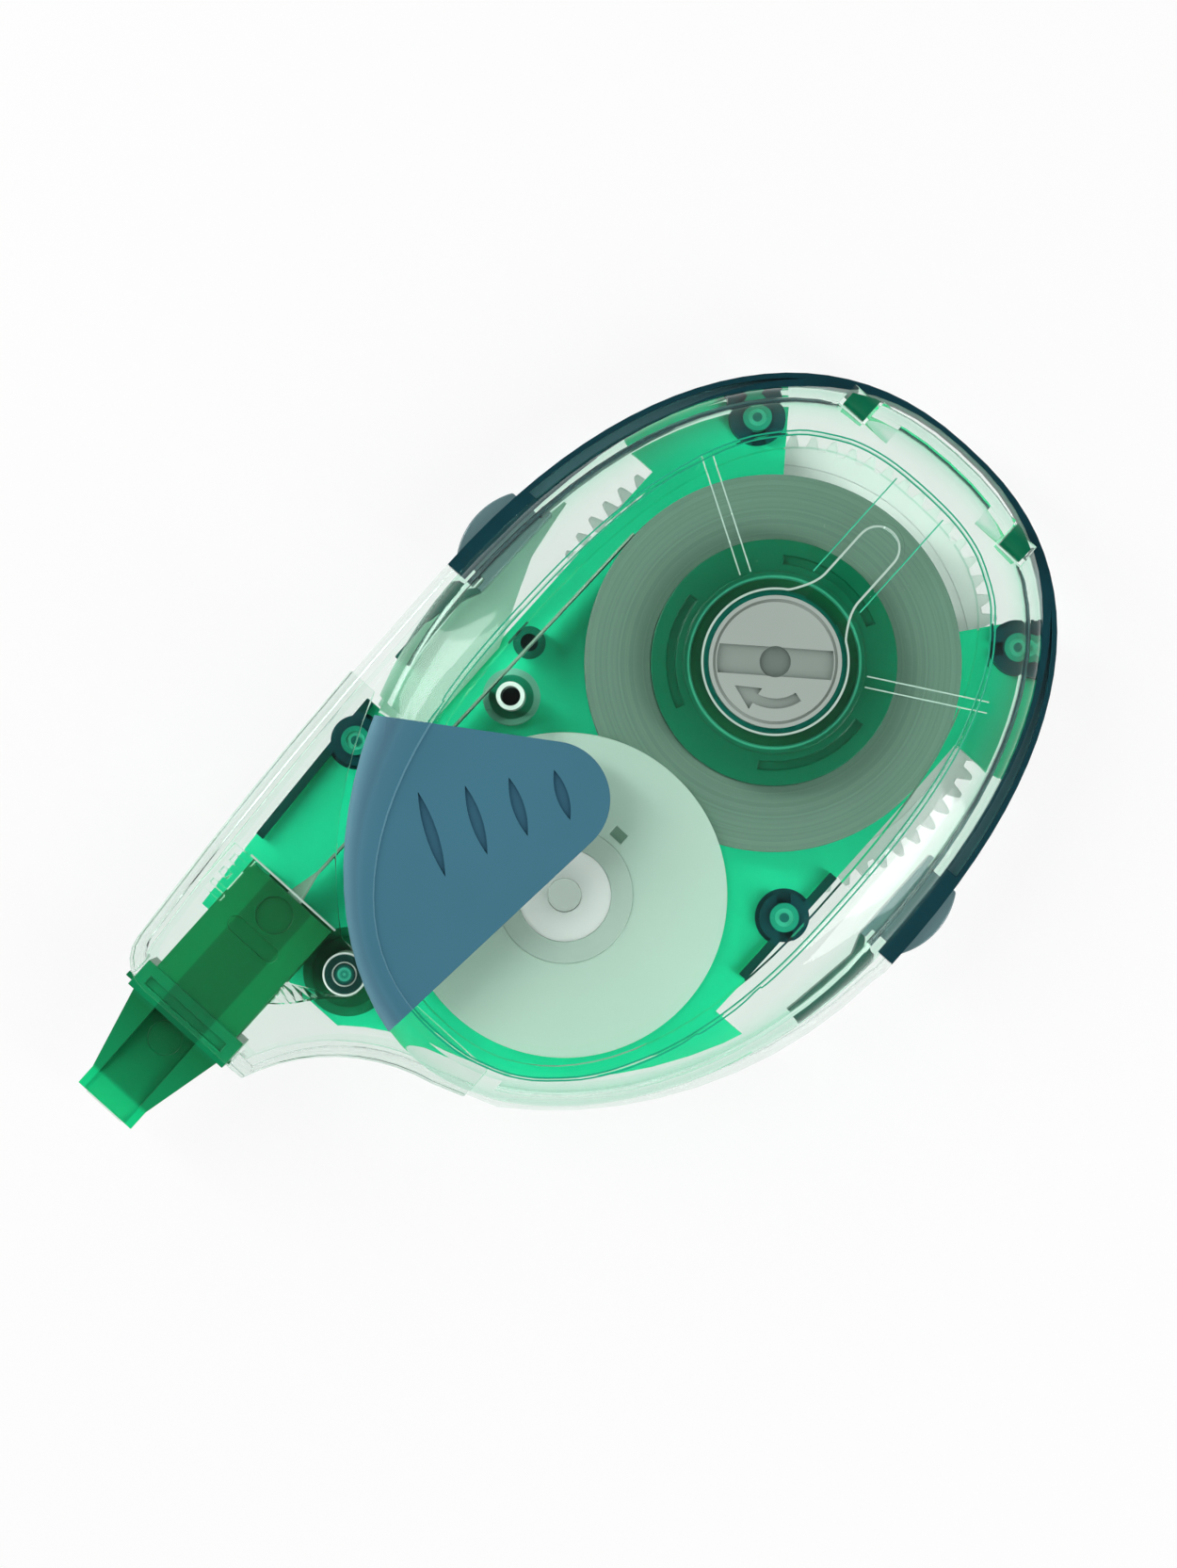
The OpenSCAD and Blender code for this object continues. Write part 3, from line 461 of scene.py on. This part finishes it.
# Edge lines: fine beads round the knob's keyhole, on the edges of the ribs under the roof, on the two ovals
# of the roof and on the step of the nose cover, riding with the clear pieces. Their pale and teal finishes
# are painted highlights, standing in for the glints and green lines that light makes at those edges.
def raised_lines(name, paths, closed, width, low, high):
    """Fine beads that follow paths in plan, from one height to another, all in millimetres."""
    mesh = bmesh.new()
    for path in paths:
        points = [mesh.verts.new(Vector((x, y, low)) * MM) for x, y in path]
        for here, onward in zip(points, points[1:] + points[:1] if closed else points[1:]):
            mesh.edges.new((here, onward))
    raised = bmesh.ops.extrude_edge_only(mesh, edges=mesh.edges[:])["geom"]
    tops = [v for v in raised if isinstance(v, bmesh.types.BMVert)]
    bmesh.ops.translate(mesh, verts=tops, vec=(0, 0, (high - low) * MM))
    data = bpy.data.meshes.new(name)
    mesh.to_mesh(data)
    mesh.free()
    piece = bpy.data.objects.new(name, data)
    bpy.context.scene.collection.objects.link(piece)
    thick = piece.modifiers.new("thick", "SOLIDIFY")
    thick.thickness = width * MM
    thick.offset = 0
    crown = piece.modifiers.new("crown", "BEVEL")
    crown.width = (high - low) / 3 * MM
    crown.segments = 2
    return piece


def eased(path):
    """Cuts the corners of a closed path once."""
    return [tuple(a[i] + (b[i] - a[i]) * t for i in (0, 1))
            for a, b in zip(path, path[1:] + path[:1]) for t in (0.25, 0.75)]


def arc(centre_x, radius, start, end, step):
    """Points round a centre on the keyhole's middle line, from one angle to another in degrees."""
    turns = [math.radians(angle) for angle in range(start, end + 1, step)]
    return [(centre_x + radius * math.cos(turn), radius * math.sin(turn)) for turn in turns]


def roof_oval(level):
    """The lid's outermost points at one height, in order round its middle, in millimetres."""
    tolerance, step = 0.004, math.radians(4)
    points = [v.co / MM for v in nodes["front_lid"].data.vertices]
    ring = [point.xy for point in points if abs(point.z - level) < tolerance]
    centre = Vector([(min(along) + max(along)) / 2 for along in zip(*ring)])
    outermost = {}
    for point in ring:
        out = point - centre
        turn = round(math.atan2(out.y, out.x) / step)
        if turn not in outermost or out.length > outermost[turn][0]:
            outermost[turn] = (out.length, point)
    return [outermost[turn][1] for turn in sorted(outermost)]


bead_radius, mouth_angle = 6.55, 30
slot_half, slot_end, slot_run = 1.96, 13.65, (8, 10, 12)
keyhole = arc(0, bead_radius, mouth_angle, 360 - mouth_angle, 6) + [(x, -slot_half) for x in slot_run]
keyhole += arc(slot_end, slot_half, -90, 90, 15) + [(x, slot_half) for x in reversed(slot_run)]

rib_start, rib_end, rib_half = 8.4, 19.6, 0.5
rib_lines = []
for turn in (math.radians(-60), math.radians(60)):
    along = Vector((math.cos(turn), math.sin(turn)))
    across = along.orthogonal()
    for side in (-rib_half, rib_half):
        rib_lines.append([along * reach + across * side for reach in (rib_start, rib_end)])
slot_rib_lines = [[(rib_start, y), (rib_end, y)] for y in (-2.7, 2.9)]

step_x, step_from, step_to = -44.35, 13.2, 23.4
step_line = [[(step_x, step_from), (step_x, step_to)]]
roof_level, bead_level = 16.75, 17

# Both finishes are painted highlights for the edge lines.
pale_edge_glint = moulded("pale_edge_glint", (214, 230, 222), (196, 218, 208), (0.2, 0.3), 120, clear=0.4)
let_lamps_through(pale_edge_glint, (230, 240, 235))
teal_edge_glint = moulded("teal_edge_glint", (20, 186, 146), (10, 168, 128), (0.2, 0.3), 120, clear=0.15)
let_lamps_through(teal_edge_glint, (160, 224, 202))
for name, paths, closed, width, low, high, material, body, slot in [
    ("keyhole_bead", [eased(eased(keyhole))], True, 0.2, 17.15, 17.28, pale_edge_glint, "lid", "clear_lid"),
    ("rib_edges", rib_lines, False, 0.13, 14.94, 15.04, pale_edge_glint, "lid", "clear_lid"),
    ("slot_rib_edges", slot_rib_lines, False, 0.13, 15.5, 15.6, teal_edge_glint, "lid", "clear_lid"),
    ("nose_step", step_line, False, 0.2, 14.45, 14.58, pale_edge_glint, "root", "clear_case"),
    ("roof_line", [eased(roof_oval(roof_level))], True, 0.15, 16.7, 16.82, teal_edge_glint, "lid", "clear_lid"),
    ("bead_line", [eased(roof_oval(bead_level))], True, 0.15, 16.92, 17.04, teal_edge_glint, "lid", "clear_lid"),
]:
    line = raised_lines(name, paths, closed, width, low, high)
    finish(line, material)
    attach(line, body)


# Grip pad: the slate-blue rubber thumb rest bonded to the lid. It is soft to the touch and matt, with four
# lens-shaped grooves. Its colour is graded by height, and its rounded edge is painted paler as a painted
# highlight.
pad_blue = moulded("pad_blue", FULL, (236, 236, 236), (0.5, 0.62), 70, 1500, 0.03)
graded(pad_blue, "Z", [
    (14.8, (60, 112, 134)), (17.5, (46, 98, 119)), (17.7, (50, 102, 123)),
    *stretches((17.9, 18.2, (62, 118, 138)))])
# The paler rounded edge is a painted highlight.
edge_lit(pad_blue, (98, 146, 164))
ease_edges(nodes["grip_pad"], 0.35, 3)
finish(nodes["grip_pad"], pad_blue)


# Drive gear and take-up gear: the pair that links the reels. They are moulded in unfilled acetal and keep its
# milky, slightly see-through white.
gear_white = moulded("gear_white", (248, 251, 249), (240, 246, 243), (0.25, 0.35), 100, clear=0.55)
let_lamps_through(gear_white, (240, 246, 243))
for gear in ("drive_gear", "take_up_gear"):
    ease_edges(nodes[gear], 0.04, 1)
    finish(nodes[gear], gear_white)


# Clutch ring: the dark rubber washer that lets the supply reel slip on its gear. It is punched from sheet and
# lies loose round the gear's hub.
clutch_black = moulded("clutch_black", (74, 80, 78), (58, 63, 61), (0.6, 0.75), 150)
finish(nodes["clutch_ring"], clutch_black)


# Slack knob: the grey cap that a coin or a finger turns to take up loose tape. Opaque plastic with a
# recessed bar, a dimple and a direction arrow, all a little darker at the bottom.
knob_grey = moulded("knob_grey", FULL, (240, 240, 240), (0.35, 0.45), 120)
graded(knob_grey, "Z", [
    (12.7, (146, 159, 151)), (16.4, (122, 136, 129)), (16.8, (146, 160, 152)), (17, (150, 163, 155)),
    (17.3, (166, 179, 171))])
ease_edges(nodes["slack_knob"], 0.12)
finish(nodes["slack_knob"], knob_grey)


# Supply core: the deep green bobbin inside the roll, with arc slots in its top. Its colour is graded in rings
# by radius: partly the thick and thin walls of one green plastic, and partly painted shade at the rim of its
# disc.
core_green = moulded("core_green", FULL, DULL, (0.2, 0.3), 80)
# The dark rings are partly painted shade at the rim of the disc.
graded(core_green, "Radius", [
    (5, (10, 96, 84)), (6.3, (12, 104, 88)), (6.5, (6, 70, 44)), (7.5, (7, 84, 50)),
    (7.58, (60, 168, 132)), (7.8, (50, 158, 122)), (7.88, (8, 96, 66)), (10, (9, 101, 69)),
    (11.1, (8, 106, 72)), (13, (12, 116, 80))])
ease_edges(nodes["supply_core"], 0.1)
finish(nodes["supply_core"], core_green)


# Tape roll: many turns of coated tape wound on the core, seen edge on. The layers show as fine concentric
# lines of differing grey-greens.
layer_light, layer_dark, layers_per_metre = (112, 144, 127), (78, 109, 93), 2600
wound_edge = moulded("wound_edge", FULL, (236, 236, 236), (0.38, 0.5), 50)
tree = wound_edge.node_tree
turns = tree.nodes.new("ShaderNodeTexNoise")
turns.noise_dimensions = "1D"
turns.inputs["Scale"].default_value = layers_per_metre
turns.inputs["Detail"].default_value = 6
turns.inputs["Roughness"].default_value = 0.75
layers = tree.nodes.new("ShaderNodeMix")
layers.data_type = "RGBA"
layers.inputs["A"].default_value = tone(*layer_dark)
layers.inputs["B"].default_value = tone(*layer_light)
tree.links.new(measured(wound_edge, "Radius", axis_of("supply_slip")), turns.inputs["W"])
tree.links.new(turns.outputs["Fac"], layers.inputs["Factor"])
lay_over(wound_edge, layers.outputs["Result"], way="MULTIPLY")
ease_edges(nodes["tape_roll"], 0.1)
finish(nodes["tape_roll"], wound_edge)


# Take-up reel: a natural plastic hub with a lower flange, a frosted upper flange that shuts the film in,
# and the few turns of spent film wound so far. The shell's clear spindle, seen through the hub's bore, is
# painted grey: painted shade in the bore.
hub_natural = moulded("hub_natural", (166, 185, 174), (154, 174, 163), (0.3, 0.4), 90)
disc_frosted = moulded("disc_frosted", (206, 226, 215), (194, 217, 205), (0.35, 0.45), 60, clear=0.5)
let_lamps_through(disc_frosted, (215, 232, 223))
ease_edges(nodes["take_up_hub"], 0.1)
finish(nodes["take_up_hub"], hub_natural)
ease_edges(nodes["take_up_flange"], 0.1)
finish(nodes["take_up_flange"], disc_frosted)
finish(nodes["carrier_winding"], film_clear)
spindle_shade_grey, spindle_radius = (186, 202, 193), 2.5
# The grey disc is painted shade in the hub's bore.
spot(clear_case, axis_of("take_up_spin"), stretches((0, spindle_radius, spindle_shade_grey)))


# Release buttons and leaf springs: squeezed together they free the lid. The buttons are pale translucent
# caps in the band, and the springs are thin dark green arms with a faint painted glow in their own green.
button_pale = moulded("button_pale", (130, 160, 164), (104, 138, 142), (0.15, 0.25), 120, clear=0.4)
let_lamps_through(button_pale, (170, 196, 198))
# The springs get a faint painted glow in their own green, a painted light that lifts their shade.
spring_green = painted_glow(moulded("spring_green", (0, 84, 72), (0, 72, 60), (0.3, 0.4), 120), 0.1)
for side in ("upper", "lower"):
    ease_edges(nodes["latch_button_" + side], 0.15)
    finish(nodes["latch_button_" + side], button_pale)
    ease_edges(nodes["latch_spring_" + side], 0.1)
    finish(nodes["latch_spring_" + side], spring_green)


# Studio: a white table in a pale room with a dim ceiling, two strip lamps at the sides, and a camera straight
# above with a long lens. What looks at the table sees it white, and it keeps the object's shadow.
table_half, table_drop, table_white_share = 1.5, 0.1 * MM, 0.85
table_mesh = bmesh.new()
bmesh.ops.create_grid(table_mesh, x_segments=1, y_segments=1, size=table_half)
bmesh.ops.translate(table_mesh, verts=table_mesh.verts, vec=(0, 0, -table_drop))
table_data = bpy.data.meshes.new("white_table")
table_mesh.to_mesh(table_data)
table_mesh.free()
table = bpy.data.objects.new("white_table", table_data)
bpy.context.scene.collection.objects.link(table)
table_white = bpy.data.materials.new("table_white")
table_white.use_nodes = True
tree = table_white.node_tree
tree.nodes.clear()
paint, glow = tree.nodes.new("ShaderNodeBsdfDiffuse"), tree.nodes.new("ShaderNodeEmission")
paint.inputs["Color"].default_value = (0.9, 0.9, 0.9, 1)
path = tree.nodes.new("ShaderNodeLightPath")
seen = path.outputs["Is Camera Ray"]
for ray in ("Is Glossy Ray", "Is Transmission Ray"):
    either = tree.nodes.new("ShaderNodeMath")
    either.operation = "MAXIMUM"
    tree.links.new(seen, either.inputs[0])
    tree.links.new(path.outputs[ray], either.inputs[1])
    seen = either.outputs["Value"]
share = tree.nodes.new("ShaderNodeMath")
share.operation = "MULTIPLY"
share.inputs[1].default_value = table_white_share
choice, shown = tree.nodes.new("ShaderNodeMixShader"), tree.nodes.new("ShaderNodeOutputMaterial")
tree.links.new(seen, share.inputs[0])
tree.links.new(share.outputs["Value"], choice.inputs[0])
tree.links.new(paint.outputs["BSDF"], choice.inputs[1])
tree.links.new(glow.outputs["Emission"], choice.inputs[2])
tree.links.new(choice.outputs["Shader"], shown.inputs["Surface"])
table.data.materials.append(table_white)

room = bpy.data.worlds.new("pale_room")
room.use_nodes = True
tree = room.node_tree
sky = tree.nodes["Background"]
sky.inputs["Color"].default_value = (1, 1, 1, 1)
place, apart = tree.nodes.new("ShaderNodeTexCoord"), tree.nodes.new("ShaderNodeSeparateXYZ")
fall = tree.nodes.new("ShaderNodeMapRange")
fall.inputs["From Min"].default_value = 0.3
fall.inputs["From Max"].default_value = 0.95
fall.inputs["To Min"].default_value = 1
fall.inputs["To Max"].default_value = 0.12
tree.links.new(place.outputs["Generated"], apart.inputs["Vector"])
tree.links.new(apart.outputs["Z"], fall.inputs["Value"])
tree.links.new(fall.outputs["Result"], sky.inputs["Strength"])
bpy.context.scene.world = room

middle = Vector((-19.3, 5.1, 10)) * MM
picture_turn = math.radians(-48)
picture_right = Vector((math.cos(picture_turn), math.sin(picture_turn), 0))
picture_up = Vector((-math.sin(picture_turn), math.cos(picture_turn), 0))
strip_wide, strip_long = 80 * MM, 420 * MM
strip_out, strip_down, strip_high = 280 * MM, 180 * MM, 300 * MM
strip_place = picture_right * strip_out - picture_up * strip_down
for name, power, side in [("strip_left", 0.9, -1), ("strip_right", 0.8, 1)]:
    light = bpy.data.lights.new(name, "AREA")
    light.shape = "RECTANGLE"
    light.size, light.size_y = strip_wide, strip_long
    light.energy = power
    lamp = bpy.data.objects.new(name, light)
    lamp.location = middle + side * strip_place + Vector((0, 0, strip_high))
    lamp.rotation_euler = (middle - lamp.location).to_track_quat("-Z", "Y").to_euler()
    bpy.context.scene.collection.objects.link(lamp)

picture_high = 142.7 * MM
lens = bpy.data.cameras.new("long_lens")
lens.lens = 100
lens.sensor_width = 36
camera = bpy.data.objects.new("long_lens", lens)
far_off = picture_high / 2 / math.tan(math.atan(lens.sensor_width / 2 / lens.lens))
camera.location = middle + Vector((0, 0, far_off))
camera.rotation_euler = (0, 0, picture_turn)
bpy.context.scene.collection.objects.link(camera)
bpy.context.scene.camera = camera
bpy.context.scene.view_settings.view_transform = "Standard"
bpy.context.scene.cycles.max_bounces = 48
bpy.context.scene.cycles.glossy_bounces = 32
bpy.context.scene.cycles.transmission_bounces = 32
bpy.context.scene.cycles.transparent_max_bounces = 32
